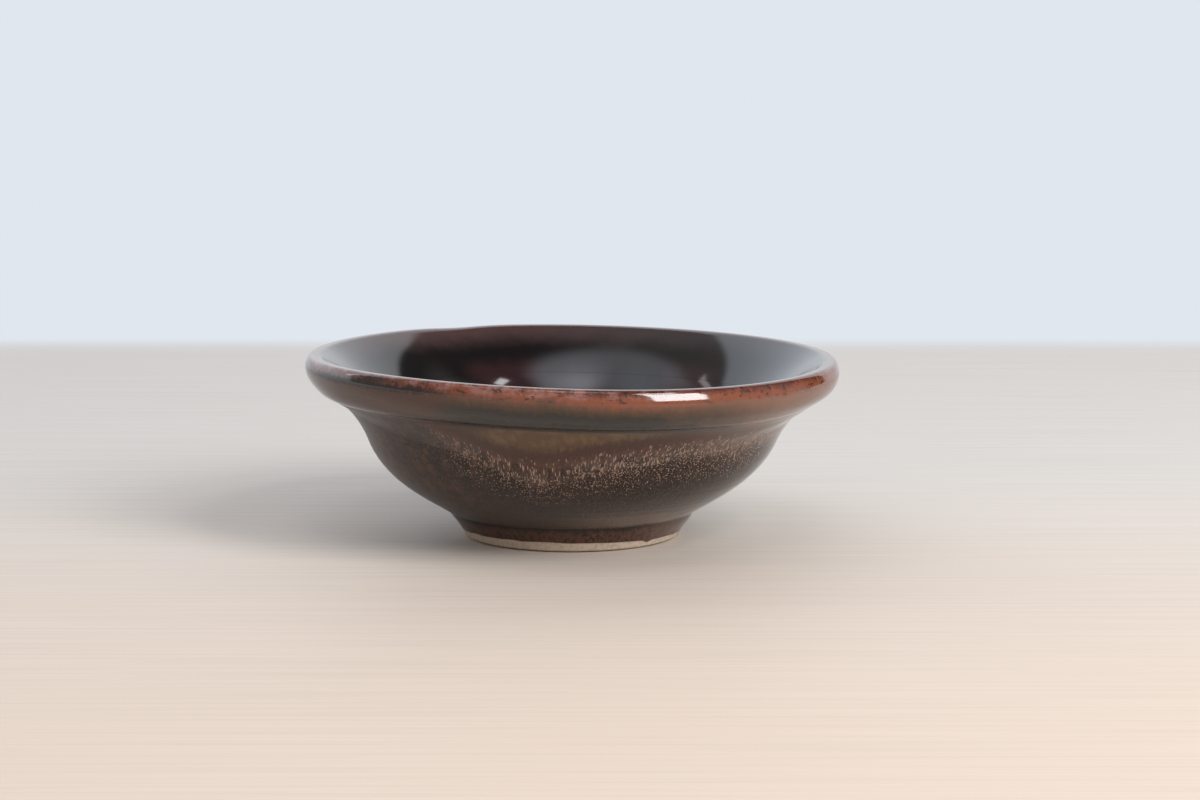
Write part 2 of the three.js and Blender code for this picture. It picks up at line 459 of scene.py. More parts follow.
def place_on_cylinder(along):
    """Each point's place on the cylinder of the patterns, with its distance from the crease as its height."""
    across = PATTERN_RADIUS * np.sin(TURN_RADIANS) + 0 * along
    deep = -PATTERN_RADIUS * np.cos(TURN_RADIANS) + 0 * along
    return np.stack([across, deep, along - OUTLINE.crease], axis=-1)


def add_run_distance(piece, along):
    """Stores how far above the line of crystals each point lies, in mm."""
    above = (along - CRYSTAL_LINE).ravel()
    attribute = piece.data.attributes.new("above_run", "FLOAT", "POINT")
    attribute.data.foreach_set("value", above.astype(np.float32))


def coat(name, open_rows, open_lift, hidden_rows, hidden_lift):
    """A shell of glaze round the bowl, from its lower edge to its upper edge and back along the clay."""
    along = np.vstack([open_rows, hidden_rows[::-1]])
    rings = np.concatenate([rings_at(open_rows, open_lift), rings_at(hidden_rows, hidden_lift)[::-1]])
    piece = lathe(name, rings, along)
    add_run_distance(piece, along)
    return piece


def build_wall_coat():
    stops = [GLAZE_LINE, OUTLINE.foot_top, OUTLINE.waist, OUTLINE.crease, OUTLINE.top]
    rows = stations(stops, [14, 62, 36, 20])
    hidden = stations(stops, [4, 8, 5, 8])
    thickness = taper(rows - GLAZE_LINE, COAT_EDGE, COAT, COAT_TAPER)
    return coat("wall_glaze_coat", rows, LAYER_GAP + thickness, hidden, LAYER_GAP)


def build_lip_coat():
    stops = [RUN_LINE, OUTLINE.crease, OUTLINE.widest, OUTLINE.top, OUTLINE.top + BEAD_END, INSIDE_RUN]
    rows = stations(stops, [38, 28, 20, 12, 24])
    hidden = stations(stops, [9, 8, 6, 3, 8])
    outside = taper(rows - RUN_LINE, RUN_EDGE, LIP_COAT, RUN_TAPER)
    inside = taper(INSIDE_RUN - rows, RUN_EDGE, LIP_COAT, LIP_COAT_INSIDE)
    bead = BEAD * hump(rows - OUTLINE.widest - BEAD_HEIGHT, BEAD_REACH)
    under = LAYER_GAP + COAT + LIP_LAYER_GAP
    return coat("lip_glaze_coat", rows, under + np.minimum(outside, inside) + bead, hidden, under)


def build_liner():
    stops = [OUTLINE.top + BUTT_GAP, INSIDE_RUN, FLOOR_END]
    hidden = stations(stops, [6, 40])[::-1]
    rows = stations(stops, [12, 110])
    rings = np.concatenate([rings_at(hidden, LAYER_GAP), rings_at(rows, LAYER_GAP + COAT)])
    poles = [(0, 0, FLOOR_HEIGHT + LAYER_GAP), (0, 0, FLOOR_HEIGHT + LAYER_GAP + COAT)]
    return lathe("liner_glaze_coat", rings, np.vstack([hidden, rows]), poles)


def build_clay():
    section = foot_section()
    under = np.array([turned_ring(radius, height) for radius, height in section])
    stops = [0.0, OUTLINE.foot_top, OUTLINE.waist, OUTLINE.crease, OUTLINE.widest, OUTLINE.top, FLOOR_END]
    rows = stations(stops, [24, 24, 14, 8, 4, 60])
    rings = np.concatenate([under, rings_at(rows, 0.0)])
    along = np.vstack([np.zeros((len(section), COLUMNS)), rows])
    return lathe("stoneware_body", rings, along, [(0, 0, FOOT_RECESS), (0, 0, FLOOR_HEIGHT)])


def foot_section():
    """Radius and height of points on the underside, from near the axis to just short of the foot's edge."""
    ring_inside = FOOT_RADIUS - FOOT_RING
    recess_edge = ring_inside - RECESS_DRAFT
    recess = np.linspace(RECESS_CENTRE, recess_edge, RECESS_ROWS)
    groove = FOOT_GROOVE_DEPTH * (0.5 - 0.5 * np.cos(2 * math.pi * recess / FOOT_GROOVE_PITCH))
    groove *= smoothstep((recess_edge - recess) / FOOT_GROOVE_FADE)
    section = [(radius, FOOT_RECESS + depth) for radius, depth in zip(recess, groove)]
    corners = [
        (recess_edge, FOOT_RECESS),
        (ring_inside, FOOT_CHAMFER),
        (ring_inside + FOOT_CHAMFER, 0.0),
        (FOOT_RADIUS - FOOT_UNDERCUT, 0.0),
        (FOOT_RADIUS, FOOT_CHAMFER),
    ]
    for start, end, count in zip(corners, corners[1:], [6, 3, 8, 3]):
        section += section_between(start, end, count)
    return section[:-1]


def section_between(start, end, count):
    """Points after start, up to end, on a straight stretch of the underside."""
    steps = np.linspace(0.0, 1.0, count + 1)[1:, None]
    return [tuple(point) for point in np.array(start) + steps * (np.array(end) - np.array(start))]


def turned_ring(radius, height):
    flat = np.full(COLUMNS, height)
    return ring_points(np.full(COLUMNS, radius), flat, flat)


# The sockets of a mix node that hold colours.
MIX_FIRST = 6
MIX_SECOND = 7
MIX_RESULT = 2


class Nodes:
    """A node tree, with short calls for the kinds of node that it uses."""

    def __init__(self, owner):
        owner.use_nodes = True
        self.tree = owner.node_tree
        self.tree.nodes.clear()

    def node(self, kind, **settings):
        made = self.tree.nodes.new(kind)
        for name, value in settings.items():
            setattr(made, name, value)
        return made

    def feed(self, socket, value):
        """Links a socket to another, or sets its number or colour."""
        if isinstance(value, bpy.types.NodeSocket):
            self.tree.links.new(value, socket)
        elif socket.type == "RGBA":
            socket.default_value = (*value, 1.0)
        else:
            socket.default_value = value

    def feed_all(self, made, values):
        """Feeds a node's inputs in their order."""
        for socket, value in zip(made.inputs, values):
            self.feed(socket, value)

    def math(self, operation, *values):
        made = self.node("ShaderNodeMath", operation=operation)
        self.feed_all(made, values)
        return made.outputs[0]

    def product(self, *values):
        result = values[0]
        for value in values[1:]:
            result = self.math("MULTIPLY", result, value)
        return result

    def step(self, value, low, high):
        """0 at low, 1 at high and smooth between; low may be above high."""
        made = self.node("ShaderNodeMapRange", interpolation_type="SMOOTHSTEP")
        flipped = low > high
        self.feed_all(made, [value, min(low, high), max(low, high), float(flipped), float(not flipped)])
        return made.outputs[0]

    def band(self, value, start, rise, fall, end):
        """0 outside start to end, and 1 between rise and fall."""
        return self.product(self.step(value, start, rise), self.step(value, end, fall))

    def mix(self, factor, first, second):
        made = self.node("ShaderNodeMix", data_type="RGBA")
        self.feed(made.inputs[0], factor)
        self.feed(made.inputs[MIX_FIRST], first)
        self.feed(made.inputs[MIX_SECOND], second)
        return made.outputs[MIX_RESULT]

    def ramp(self, value, stops):
        """A colour that changes with value, through the colours of the stops."""
        low, high = stops[0][0], stops[-1][0]
        scaled = self.node("ShaderNodeMapRange")
        self.feed_all(scaled, [value, low, high, 0.0, 1.0])
        made = self.node("ShaderNodeValToRGB")
        elements = made.color_ramp.elements
        while len(elements) < len(stops):
            elements.new(1.0)
        for element, (position, colour) in zip(elements, stops):
            element.position = (position - low) / (high - low)
            element.color = (*colour, 1.0)
        self.feed(made.inputs[0], scaled.outputs[0])
        return made.outputs[0]

    def attribute(self, name):
        return self.node("ShaderNodeAttribute", attribute_name=name)

    def stretched(self, vector, scale):
        made = self.node("ShaderNodeMapping")
        self.feed(made.inputs["Vector"], vector)
        made.inputs["Scale"].default_value = scale
        return made.outputs[0]

    def noise(self, vector, scale, detail, rough):
        made = self.node("ShaderNodeTexNoise")
        self.feed(made.inputs["Vector"], vector)
        made.inputs["Scale"].default_value = scale
        made.inputs["Detail"].default_value = detail
        made.inputs["Roughness"].default_value = rough
        return made.outputs["Fac"]

    def cells(self, vector, scale, output):
        made = self.node("ShaderNodeTexVoronoi")
        self.feed(made.inputs["Vector"], vector)
        made.inputs["Scale"].default_value = scale
        return made.outputs[output]

    def bump(self, height, distance, strength=1.0, under=None):
        made = self.node("ShaderNodeBump")
        self.feed(made.inputs["Height"], height)
        made.inputs["Distance"].default_value = distance
        made.inputs["Strength"].default_value = strength
        if under is not None:
            self.feed(made.inputs["Normal"], under)
        return made.outputs[0]

    def parts(self, vector):
        made = self.node("ShaderNodeSeparateXYZ")
        self.feed(made.inputs[0], vector)
        return made.outputs

    def centred(self, pattern):
        """A pattern from 0 to 1, moved to lie round 0."""
        return self.math("SUBTRACT", pattern, 0.5)

    def shifted(self, value, *shifts):
        """A value moved by several patterns, each with its own reach."""
        for pattern, reach in shifts:
            value = self.math("ADD", value, self.math("MULTIPLY", pattern, reach))
        return value


class Shader(Nodes):
    """A material with one surface."""

    def __init__(self, name):
        self.material = bpy.data.materials.new(name)
        super().__init__(self.material)
        self.surface = self.node("ShaderNodeBsdfPrincipled")
        self.output = self.node("ShaderNodeOutputMaterial")
        self.feed(self.output.inputs["Surface"], self.surface.outputs[0])

    def place_in_mm(self):
        """Each point's place in the bowl's frame, in mm."""
        place = self.node("ShaderNodeTexCoord").outputs["Object"]
        return self.stretched(place, (1 / MM, 1 / MM, 1 / MM))


# Colours of the fired glazes and of the clay, and of the shade, light and reflections painted on them.
# Painted shade, near black, in the lip's crease.
CREASE_PAINTED_SHADE = (0.008, 0.006, 0.005)
POOL_TEAL = (0.020, 0.019, 0.017)
POOL_GREY = (0.034, 0.031, 0.029)
LIP_SHADE = (0.050, 0.025, 0.016)
LIP_OLIVE = (0.066, 0.036, 0.018)
LIP_WARM = (0.068, 0.030, 0.018)
LIP_BROWN = (0.115, 0.046, 0.026)
# Painted light, in tan, on the lip's right side below the rust.
LIP_PAINTED_LIGHT = (0.185, 0.095, 0.066)
RUST = (0.195, 0.054, 0.024)
RUST_LEFT = (0.145, 0.044, 0.022)
RUST_DARK = (0.085, 0.020, 0.011)
RIM_ROSE = (0.250, 0.110, 0.090)
# Dark flecks and mottling, also painted as shade where the foot meets the belly and as a dark reflection on
# the lip's left edge.
FLECK_DARK_AND_PAINTED_SHADE = (0.012, 0.008, 0.007)
OLIVE_GOLD = (0.098, 0.050, 0.020)
RED_BROWN = (0.052, 0.017, 0.010)
CRYSTAL_TAN = (0.420, 0.270, 0.200)
CHARCOAL = (0.013, 0.006, 0.005)
BELLY_BROWN = (0.024, 0.013, 0.009)
BELLY_PATCH = (0.034, 0.017, 0.010)
BELLY_RUST = (0.082, 0.038, 0.019)
BELLY_SPECK = (0.130, 0.082, 0.058)
# Painted light, in tan, on the right of the wall and the foot, and a painted reflection just above the foot.
PAINTED_LIGHT_TAN = (0.144, 0.089, 0.068)
NECK_GOLD = (0.170, 0.098, 0.042)
FOOT_RED = (0.090, 0.038, 0.025)
INSIDE_RED = (0.066, 0.036, 0.034)
INSIDE_DIM = (0.027, 0.022, 0.024)
INSIDE_BLACK = (0.006, 0.004, 0.004)
INSIDE_WARM = (0.032, 0.013, 0.014)
# A painted reflection, blue, on the back of the inside.
INSIDE_PAINTED_REFLECTION = (0.024, 0.025, 0.030)
CLAY = (0.570, 0.465, 0.375)
CLAY_DARK = (0.430, 0.335, 0.260)

# The order of the colours up the lip, each with its height above the crease, in three parts of the lip.
LIP_EDGE = [(5.1, LIP_BROWN), (5.7, RUST), (6.1, RUST), (6.6, RUST_DARK), (7.6, RUST_DARK)]
# The plain and pooled lips begin with painted shade in the crease.
PLAIN_LIP = [(-1.0, CREASE_PAINTED_SHADE), (0.2, CREASE_PAINTED_SHADE), (1.0, LIP_SHADE), (4.0, LIP_WARM)] + LIP_EDGE
POOL = [(-1.0, CREASE_PAINTED_SHADE), (1.3, CREASE_PAINTED_SHADE), (2.1, POOL_GREY), (3.4, POOL_TEAL), (4.4, LIP_OLIVE)]
POOLED_LIP = POOL + LIP_EDGE
# The lip's left side: darker rust, and no near-black crease.
LEFT_RUST = [(5.3, LIP_WARM), (5.7, RUST_LEFT), (6.3, RUST_LEFT), (7.2, RUST_DARK)]
LEFT_LIP = [(-1.0, LIP_SHADE), (2.0, LIP_WARM)] + LEFT_RUST

# And of those on the wall, each with its height above the line of crystals.
BELLY = [(-14.0, BELLY_BROWN), (-7.0, CHARCOAL), (0.5, CHARCOAL)]
NECK = [(1.6, RED_BROWN), (4.6, RED_BROWN), (8.0, LIP_SHADE)]

# How strongly the glaze mirrors, as its index of refraction, and how rough and uneven the surfaces are.
# The two roughnesses for crystals and satin are added to the glaze's own.
WALL_GLOSS = 1.46
LIP_GLOSS = 1.6
GLAZE_ROUGHNESS = 0.08
CRYSTAL_ROUGHNESS = 0.2
SATIN_ROUGHNESS = 0.22
CLAY_ROUGHNESS = 0.85
CLAY_SPECULAR = 0.25
WAVE_DEPTH = 0.04
CRYSTAL_DEPTH = 0.01
CLAY_GRAIN_DEPTH = 0.06


class Glaze(Shader):
    """The bowl's brown glaze. All its coats share one pattern, so no seam shows where one ends on another."""

    def __init__(self, name, gloss):
        super().__init__(name)
        self.place = self.attribute("place").outputs["Vector"]
        self.across, self.deep, self.up = self.parts(self.place)
        self.far_left = self.product(self.step(self.across, -32.0, -40.0), self.step(self.deep, 14.0, 4.0))
        self.drift = self.centred(self.noise(self.place, 0.16, 3.0, 0.55))
        self.grain = self.centred(self.noise(self.place, 1.3, 3.0, 0.6))
        tall = self.stretched(self.place, (1.0, 1.0, 0.22))
        self.streak = self.centred(self.noise(tall, 2.1, 2.0, 0.6))
        above = self.attribute("above_run").outputs["Fac"]
        self.run = self.shifted(above, (self.streak, 3.4), (self.drift, 2.0))
        crystals = self.crystal_cover()
        self.feed(self.surface.inputs["Base Color"], self.colour(crystals))
        self.feed(self.surface.inputs["Roughness"], self.roughness(crystals))
        self.feed(self.surface.inputs["Normal"], self.unevenness(crystals))
        self.surface.inputs["IOR"].default_value = gloss

    def colour(self, crystals):
        """The wall, the lip, the crystals, the inside, and the marks and painted dark reflection on the rim,
        one over the other.
        """
        colour = self.mix(self.step(self.up, -1.5, -0.6), self.body_colour(), self.lip_colour())
        colour = self.mix(self.product(crystals, 0.9), colour, CRYSTAL_TAN)
        colour = self.mix(self.step(self.up, 6.9, 8.0), colour, self.inside_colour())
        colour = self.mix(self.rose_patches(), colour, RIM_ROSE)
        return self.mix(self.rim_flecks_and_painted_reflection(), colour, FLECK_DARK_AND_PAINTED_SHADE)

    def roughness(self, crystals):
        """Glossy, with rougher crystals, and satin on the wall from the left to the front."""
        satin = self.product(self.step(self.up, 0.6, -0.6), self.step(self.across, 28.0, -4.0))
        return self.shifted(GLAZE_ROUGHNESS, (crystals, CRYSTAL_ROUGHNESS), (satin, SATIN_ROUGHNESS))

    def unevenness(self, crystals):
        """Soft waves on the outside, and crystals that stand out a little."""
        waves = self.product(self.noise(self.place, 0.35, 2.0, 0.5), self.step(self.up, 8.5, 6.5))
        return self.bump(crystals, CRYSTAL_DEPTH * MM, 0.6, self.bump(waves, WAVE_DEPTH * MM))

    def lip_colour(self):
        """Painted shade in the crease, grey where the glaze pools in front, and rust where it thins over the
        edge. On the left the rust is darker and the crease has no painted shade, and on the right light is
        painted in tan below the rust.
        """
        side = self.shifted(self.across, (self.drift, 14.0))
        level = self.shifted(self.up, (self.drift, 1.6), (self.grain, 1.0), (self.streak, 0.8))
        level = self.shifted(level, (self.step(side, 4.0, -14.0), -0.45), (self.far_left, 1.0))
        in_front = self.product(self.step(side, -22.0, -13.0), self.step(side, 31.0, 22.0))
        pool = self.product(in_front, self.step(self.deep, 6.0, -12.0))
        colour = self.mix(pool, self.ramp(level, PLAIN_LIP), self.ramp(level, POOLED_LIP))
        # On the lip's left side the colours change to darker rust, with no near-black crease.
        left = self.product(self.step(side, -13.0, -22.0), self.step(self.deep, 8.0, -4.0))
        colour = self.mix(left, colour, self.ramp(level, LEFT_LIP))
        # Painted light: tan on the right of the lip below the rust, reaching down into the crease on the far
        # right.
        right = self.product(self.step(side, 12.0, 30.0), self.step(self.deep, 12.0, -6.0))
        below_rust = self.step(level, 6.0, 5.0)
        above_crease = self.step(self.shifted(level, (self.step(side, 17.0, 25.0), 3.0)), 0.6, 1.6)
        return self.mix(self.product(right, below_rust, above_crease), colour, LIP_PAINTED_LIGHT)

    def body_colour(self):
        """The wall and, below it, the foot."""
        # Where light is painted on the right of the wall and the foot.
        painted_light_right = self.product(self.step(self.across, 15.0, 32.0), self.step(self.deep, 10.0, -8.0))
        low = self.shifted(self.up, (self.drift, 1.5), (self.grain, 1.5))
        wall = self.wall_colour(painted_light_right, low)
        return self.mix(self.step(low, -28.0, -29.4), wall, self.foot_colour(painted_light_right, low))

    def wall_colour(self, painted_light_right, low):
        """Charcoal up to the crystals and red-brown above, with rust on the left, painted light in tan on the
        right and a painted reflection just above the foot in front.
        """
        body = self.ramp(self.run, BELLY + NECK)
        patches = self.step(self.noise(self.place, 0.3, 3.0, 0.6), 0.45, 0.70)
        body = self.mix(self.product(patches, self.step(self.run, 0.5, -2.0), 0.6), body, BELLY_PATCH)
        body = self.with_olive(body)
        rusty = self.step(self.noise(self.place, 0.55, 5.0, 0.7), 0.46, 0.62)
        on_left = self.product(self.step(self.across, -12.0, -24.0), self.step(self.deep, 6.0, -8.0))
        body = self.mix(self.product(rusty, on_left, 0.8), body, BELLY_RUST)
        # Painted light: tan on the right of the wall.
        body = self.mix(self.product(painted_light_right, self.step(self.run, -5.0, 1.0), 0.75), body, PAINTED_LIGHT_TAN)
        dust = self.dots((1.0, 1.0, 0.8), 4.6, self.product(self.step(self.run, 1.5, -1.0), 0.50))
        body = self.mix(self.product(dust, 0.85), body, BELLY_SPECK)
        # Painted reflection: a pale tan band at the bottom of the wall, just above the foot, in front.
        painted_reflection_band = self.product(self.band(low, -30.0, -28.6, -25.5, -21.0), self.step(self.across, -8.0, 14.0))
        return self.mix(self.product(painted_reflection_band, self.step(self.deep, 8.0, -8.0), 0.55), body, PAINTED_LIGHT_TAN)

    def with_olive(self, body):
        """The wall's colour with olive and gold under the crease in front."""
        middle = self.band(self.shifted(self.across, (self.drift, 8.0)), -16.0, -9.0, 8.0, 18.0)
        olive = self.product(middle, self.step(self.deep, -10.0, -24.0), self.step(self.run, 4.4, 6.6))
        body = self.mix(olive, body, OLIVE_GOLD)
        gold = self.step(self.noise(self.stretched(self.place, (1.0, 1.0, 0.5)), 0.8, 3.0, 0.6), 0.42, 0.62)
        return self.mix(self.product(gold, olive, 0.6), body, NECK_GOLD)

    def foot_colour(self, painted_light_right, low):
        """Mottled red, with painted shade where the foot meets the belly, and painted light in tan on the
        right.
        """
        mottle = self.step(self.noise(self.place, 1.1, 4.0, 0.7), 0.45, 0.60)
        foot = self.mix(self.product(mottle, 0.85), FOOT_RED, FLECK_DARK_AND_PAINTED_SHADE)
        # Painted shade at the top of the foot, where it meets the belly.
        foot = self.mix(self.step(low, -30.6, -29.0), foot, FLECK_DARK_AND_PAINTED_SHADE)
        # Painted light: tan on the right of the foot.
        return self.mix(self.product(painted_light_right, 0.6), foot, PAINTED_LIGHT_TAN)

    def crystal_cover(self):
        """How much of the glaze is tan crystals: feathers along the run's edge that break up into specks."""
        clumps = self.noise(self.stretched(self.place, (1.0, 1.0, 0.4)), 1.2, 2.0, 0.6)
        clumps = self.step(clumps, 0.30, 0.62)
        in_feathers = self.band(self.run, -3.0, -0.8, 0.9, 3.6)
        in_specks = self.band(self.run, -9.0, -2.2, -0.8, 1.0)
        feathers = self.dots((1.0, 1.0, 0.20), 4.2, self.product(in_feathers, clumps, 0.95))
        specks = self.dots((1.0, 1.0, 0.8), 4.2, self.product(in_specks, 0.50))
        cover = self.math("MAXIMUM", feathers, specks)
        cover = self.math("MAXIMUM", cover, self.product(in_feathers, clumps, 0.16))
        on_back = self.step(self.deep, -8.0, 10.0)
        not_left = self.math("MAXIMUM", self.step(self.across, -25.0, -17.0), on_back)
        return self.product(cover, not_left, self.step(self.up, -0.2, -2.0))

    def dots(self, stretch, scale, share):
        """Small spots in that share of the cells of a random net."""
        place = self.stretched(self.place, stretch)
        spot = self.step(self.cells(place, scale, "Distance"), 0.46, 0.26)
        pick = self.parts(self.cells(place, scale, "Color"))[0]
        return self.product(spot, self.step(self.math("SUBTRACT", share, pick), 0.0, 0.08))

    def rose_patches(self):
        """Pinkish patches where the lip's edge is barely covered, mostly in front and to the left."""
        rim = self.band(self.shifted(self.up, (self.grain, 0.8)), 5.7, 6.2, 6.7, 7.2)
        patches = self.noise(self.stretched(self.place, (0.5, 0.5, 1.2)), 1.0, 4.0, 0.65)
        return self.product(rim, self.step(patches, 0.44, 0.59), self.step(self.across, 24.0, -4.0), 0.9)

    def rim_flecks_and_painted_reflection(self):
        """Dark flecks on the thin glaze of the lip's edge, and a dark reflection painted along its left part.
        """
        rim = self.band(self.up, 5.2, 5.8, 7.4, 8.4)
        flecks = self.noise(self.stretched(self.place, (0.7, 0.7, 1.6)), 1.2, 5.0, 0.7)
        flecks = self.step(flecks, 0.53, 0.64)
        # A dark reflection painted along the left of the lip's edge, in two bands.
        side = self.shifted(self.across, (self.drift, 6.0), (self.grain, 3.0))
        level = self.shifted(self.up, (self.grain, 1.4), (self.far_left, 0.5))
        thin = self.band(side, -46.0, -41.0, -20.0, -14.0)
        thin = self.product(thin, self.band(level, 5.3, 5.6, 6.0, 6.3))
        thick = self.band(side, -30.0, -27.0, -24.5, -20.0)
        thick = self.product(thick, self.band(level, 5.4, 5.7, 6.5, 6.9))
        painted_dark_reflection = self.product(self.math("MAXIMUM", thin, thick), self.step(self.deep, 0.0, -8.0))
        return self.math("MAXIMUM", self.product(flecks, rim, 0.8), self.product(painted_dark_reflection, 0.85))

    def inside_colour(self):
        """Red-brown under the lip, then near black, with two warmer places and a painted blue reflection
        between.
        """
        level = self.shifted(self.up, (self.drift, 4.0))
        behind = self.product(self.step(self.deep, 8.0, 30.0), self.step(self.across, 30.0, -20.0))
        upper = self.mix(behind, INSIDE_DIM, INSIDE_RED)
        colour = self.mix(self.step(level, 8.0, 13.5), upper, INSIDE_BLACK)
        side = self.shifted(self.across, (self.drift, 5.0))
        back = self.step(self.deep, 6.0, 20.0)
        warm_left = self.band(side, -22.0, -16.0, -9.0, -3.0)
        warm_right = self.band(side, 15.0, 18.0, 24.0, 28.0)
        warm = self.product(self.math("MAXIMUM", warm_left, warm_right), back)
        warm = self.product(warm, self.band(level, 14.0, 18.0, 24.0, 32.0), 0.8)
        colour = self.mix(warm, colour, INSIDE_WARM)
        # A painted blue reflection on the back of the inside, between the warmer places.
        soft = self.noise(self.stretched(self.place, (1.0, 1.0, 0.08)), 0.22, 2.0, 0.5)
        patch = self.product(self.band(side, -9.0, -1.0, 10.0, 26.0), back)
        blue_painted_reflection = self.product(self.band(level, 12.5, 22.0, 27.0, 38.0), patch, self.step(soft, 0.1, 0.6))
        return self.mix(blue_painted_reflection, colour, INSIDE_PAINTED_REFLECTION)


def clay_material():
    shader = Shader("bare_stoneware")
    grain = shader.noise(shader.place_in_mm(), 1.6, 4.0, 0.65)
    colour = shader.mix(shader.step(grain, 0.44, 0.7), CLAY, CLAY_DARK)
    shader.feed(shader.surface.inputs["Base Color"], colour)
    shader.surface.inputs["Roughness"].default_value = CLAY_ROUGHNESS
    shader.surface.inputs["Specular IOR Level"].default_value = CLAY_SPECULAR
    shader.feed(shader.surface.inputs["Normal"], shader.bump(grain, CLAY_GRAIN_DEPTH * MM, 0.5))
    return shader.material


def dress(piece, node, material):
    piece.data.materials.append(material)
    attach(piece, "root")
    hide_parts(node)


dress(build_clay(), "clay_body", clay_material())
dress(build_wall_coat(), "wall_glaze", Glaze("brown_glaze_wall", WALL_GLOSS).material)
dress(build_lip_coat(), "lip_glaze", Glaze("brown_glaze_lip", LIP_GLOSS).material)
dress(build_liner(), "liner_glaze", Glaze("dark_glaze_inside", LIP_GLOSS).material)

# The table, which fades to the backdrop's colour TABLE_HALF mm from the bowl. FLOOR_HALF is in metres.
TABLE_WARM = (0.712, 0.592, 0.493)
TABLE_GREY = (0.667, 0.636, 0.598)
TABLE_GRAIN = (0.340, 0.275, 0.225)
BACKDROP = (0.745, 0.799, 0.863)
TABLE_HALF = 257.0
TABLE_ROUNDING = 10.0
TABLE_ROUGHNESS = 0.58
TABLE_SPECULAR = 0.14
FLOOR_HALF = 3.0


def table_material():
    """A pale table top that fades to the paler wall colour at its edge."""
    shader = Shader("pale_table")
    place = shader.place_in_mm()
    x, y = shader.parts(place)[:2]
    grain = shader.noise(shader.stretched(place, (0.02, 1.0, 1.0)), 0.8, 4.0, 0.6)
    top = shader.mix(shader.step(y, -150.0, 120.0), TABLE_WARM, TABLE_GREY)
    top = shader.mix(shader.product(shader.step(grain, 0.35, 0.75), 0.14), top, TABLE_GRAIN)
    shader.feed(shader.surface.inputs["Base Color"], top)
    shader.surface.inputs["Roughness"].default_value = TABLE_ROUGHNESS
    shader.surface.inputs["Specular IOR Level"].default_value = TABLE_SPECULAR
    wall = shader.node("ShaderNodeEmission")
    shader.feed(wall.inputs["Color"], BACKDROP)
    path = shader.node("ShaderNodeLightPath")
    seen = shader.math("MAXIMUM", path.outputs["Is Camera Ray"], path.outputs["Is Glossy Ray"])
    blend = shader.node("ShaderNodeMixShader")
    shader.feed(blend.inputs[0], shader.product(beyond_table(shader, x, y), seen))
    shader.feed(blend.inputs[1], shader.surface.outputs[0])
    shader.feed(blend.inputs[2], wall.outputs[0])
    shader.feed(shader.output.inputs["Surface"], blend.outputs[0])
    return shader.material


def beyond_table(shader, x, y):
    """0 on the table, a square with rounded corners, and 1 beyond its soft edge."""
    wide = shader.math("ABSOLUTE", shader.math("DIVIDE", x, TABLE_HALF))
    far = shader.math("ABSOLUTE", shader.math("DIVIDE", y, TABLE_HALF))
    wide = shader.math("POWER", wide, TABLE_ROUNDING)
    far = shader.math("POWER", far, TABLE_ROUNDING)
    return shader.step(shader.math("ADD", wide, far), 0.5, 2.2)


def build_table():
    half = FLOOR_HALF
    corners = [(-half, -half, 0), (half, -half, 0), (half, half, 0), (-half, half, 0)]
    mesh = bpy.data.meshes.new("table_top")
    mesh.from_pydata(corners, [], [(0, 1, 2, 3)])
    table = bpy.data.objects.new("table_top", mesh)
    bpy.context.collection.objects.link(table)
    table.data.materials.append(table_material())


# The room that lights the bowl and that the glaze mirrors.
ROOM_RIGHT = (0.085, 0.085, 0.09)
ROOM_LEFT = (0.35, 0.33, 0.33)
ROOM_FRONT = (0.56, 0.55, 0.54)
PALE_WALL = (1.24, 1.28, 1.34)
PALE_WALL_LEFT = (1.33, 1.43, 1.58)
PALE_WALL_FOOT = (0.84, 0.88, 0.92)
SKYLIGHT = (1.06, 1.08, 1.16)
SKYLIGHT_BRIGHT = (2.40, 2.40, 2.60)


def sine(degrees):
    return math.sin(math.radians(degrees))


def build_world():
    """A dim room, light in front, with a pale wall behind the bowl and a skylight above it."""
    world = bpy.data.worlds.new("room")
    bpy.context.scene.world = world
    room = Nodes(world)
    x, y, z = room.parts(room.node("ShaderNodeTexCoord").outputs["Generated"])
    colour = room.mix(room.step(x, 0.25, -0.25), ROOM_RIGHT, ROOM_LEFT)
    front = room.step(room.shifted(y, (x, -0.7)), 0.05, -0.4)
    front = room.product(front, room.step(z, sine(54), sine(45)))
    colour = room.mix(front, colour, ROOM_FRONT)
    colour = room.mix(pale_wall_cover(room, x, y, z), colour, pale_wall_colour(room, x, z))
    colour = with_skylight(room, x, y, z, colour)
    seen = room.node("ShaderNodeLightPath").outputs["Is Camera Ray"]
    background = room.node("ShaderNodeBackground")
    room.feed(background.inputs["Color"], room.mix(seen, colour, BACKDROP))
    output = room.node("ShaderNodeOutputWorld")
    room.feed(output.inputs["Surface"], background.outputs[0])


def pale_wall_cover(room, x, y, z):
    """1 on the flat wall behind the bowl, whose top falls away to the left and which ends on the right."""
    away = room.math("MAXIMUM", y, 0.02)
    across = room.math("DIVIDE", x, away)
    up = room.math("DIVIDE", z, away)
    below_top = room.step(room.shifted(up, (across, 0.18)), 1.77, 1.53)
    below_slope = room.step(room.shifted(up, (across, -0.73)), 2.82, 2.36)
    return room.product(room.step(y, 0.0, 0.05), below_top, below_slope, room.step(across, 0.99, 0.87))


def pale_wall_colour(room, x, z):
    """Brighter to the left, and dimmer at the wall's foot."""
    upper = room.mix(room.step(x, 0.1, -0.5), PALE_WALL, PALE_WALL_LEFT)
    return room.mix(room.step(z, sine(2), sine(15)), PALE_WALL_FOOT, upper)


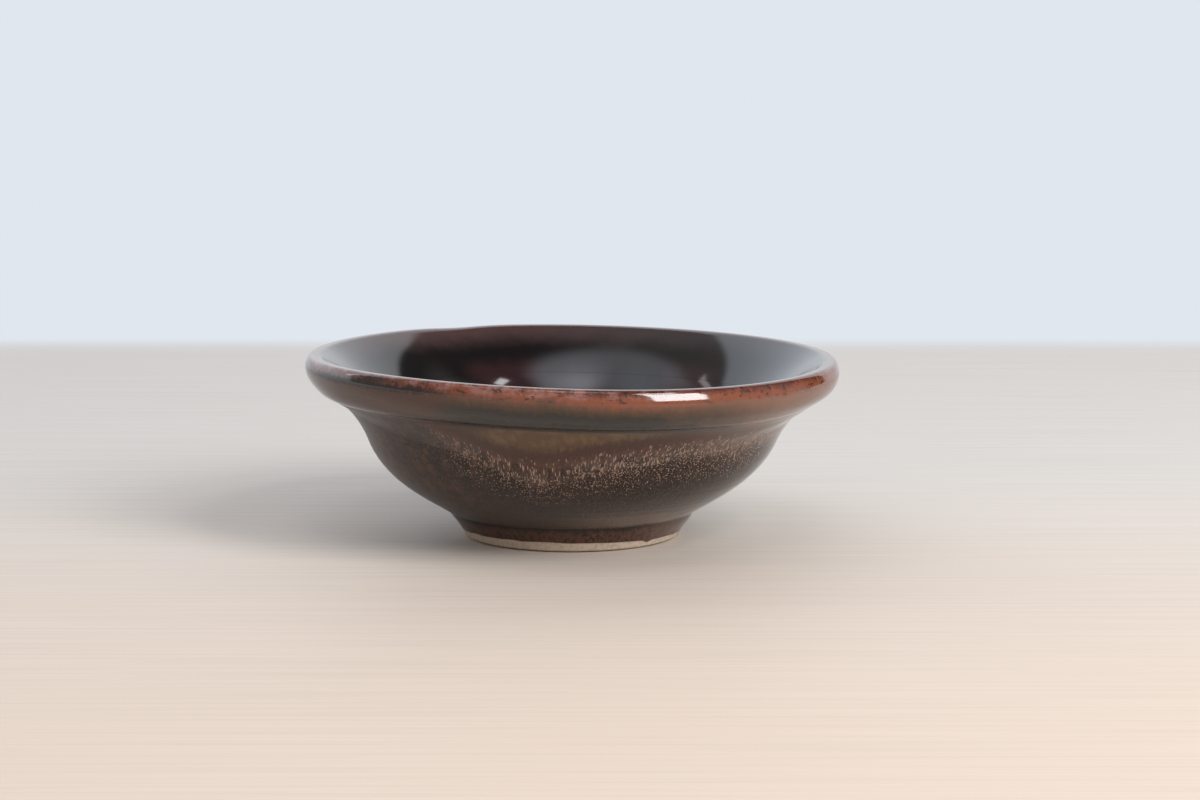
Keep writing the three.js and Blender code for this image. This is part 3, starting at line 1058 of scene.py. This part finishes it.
def with_skylight(room, x, y, z, colour):
    """The room's colour with a skylight in its flat ceiling, and a brighter pane in that."""
    high = room.math("MAXIMUM", z, 0.05)
    across = room.math("DIVIDE", x, high)
    ahead = room.math("DIVIDE", y, high)
    slanted = room.shifted(ahead, (across, 0.33))
    glow = room.band(slanted, -0.75, -0.5, -0.165, -0.005)
    glow = room.product(room.band(across, -1.1, -0.6, 0.2, 0.42), glow)
    colour = room.mix(glow, colour, SKYLIGHT)
    bright = room.band(ahead, -0.7, -0.5, -0.45, -0.05)
    bright = room.product(room.band(across, -0.28, -0.05, 0.0, 0.4), bright)
    return room.mix(bright, colour, SKYLIGHT_BRIGHT)


# Each lamp: its turn, its height above the table in degrees, width and height in metres, power in watts.
WINDOWS = {
    "window_right": (48, 29, 0.40, 0.36, 6.6),
    "window_right_top": (45, 46, 0.26, 0.12, 1.6),
    "window_high": (70, 60, 0.08, 0.09, 0.18),
    "window_left": (-115, 36, 0.06, 0.52, 0.2),
}
WINDOW_DISTANCE = 1.0


def build_window(name, turn, height, width, tall, power):
    lamp = bpy.data.lights.new(name, "AREA")
    lamp.shape = "RECTANGLE"
    lamp.size = width
    lamp.size_y = tall
    lamp.energy = power
    window = bpy.data.objects.new(name, lamp)
    bpy.context.collection.objects.link(window)
    round_by, up_by = math.radians(turn), math.radians(height)
    level = WINDOW_DISTANCE * math.cos(up_by)
    across, ahead = level * math.sin(round_by), -level * math.cos(round_by)
    window.location = (across, ahead, WINDOW_DISTANCE * math.sin(up_by))
    window.rotation_euler = (math.radians(90 - height), 0.0, round_by)
    window.visible_camera = False


# The camera's place in metres, its pitch below the level, and its lens and sensor in mm.
CAMERA_PLACE = (0.00465, -0.550, 0.0997)
CAMERA_PITCH = 7.95
CAMERA_LENS = 98.58
CAMERA_SENSOR = 36.0
CAMERA_CLIP = 0.01


def build_camera():
    data = bpy.data.cameras.new("camera")
    data.sensor_fit = "HORIZONTAL"
    data.sensor_width = CAMERA_SENSOR
    data.lens = CAMERA_LENS
    data.clip_start = CAMERA_CLIP
    camera = bpy.data.objects.new("camera", data)
    bpy.context.collection.objects.link(camera)
    camera.location = CAMERA_PLACE
    camera.rotation_euler = (math.radians(90 - CAMERA_PITCH), 0.0, 0.0)
    bpy.context.scene.camera = camera


build_table()
build_world()
for window_name, values in WINDOWS.items():
    build_window(window_name, *values)
build_camera()
bpy.context.scene.view_settings.view_transform = "Standard"
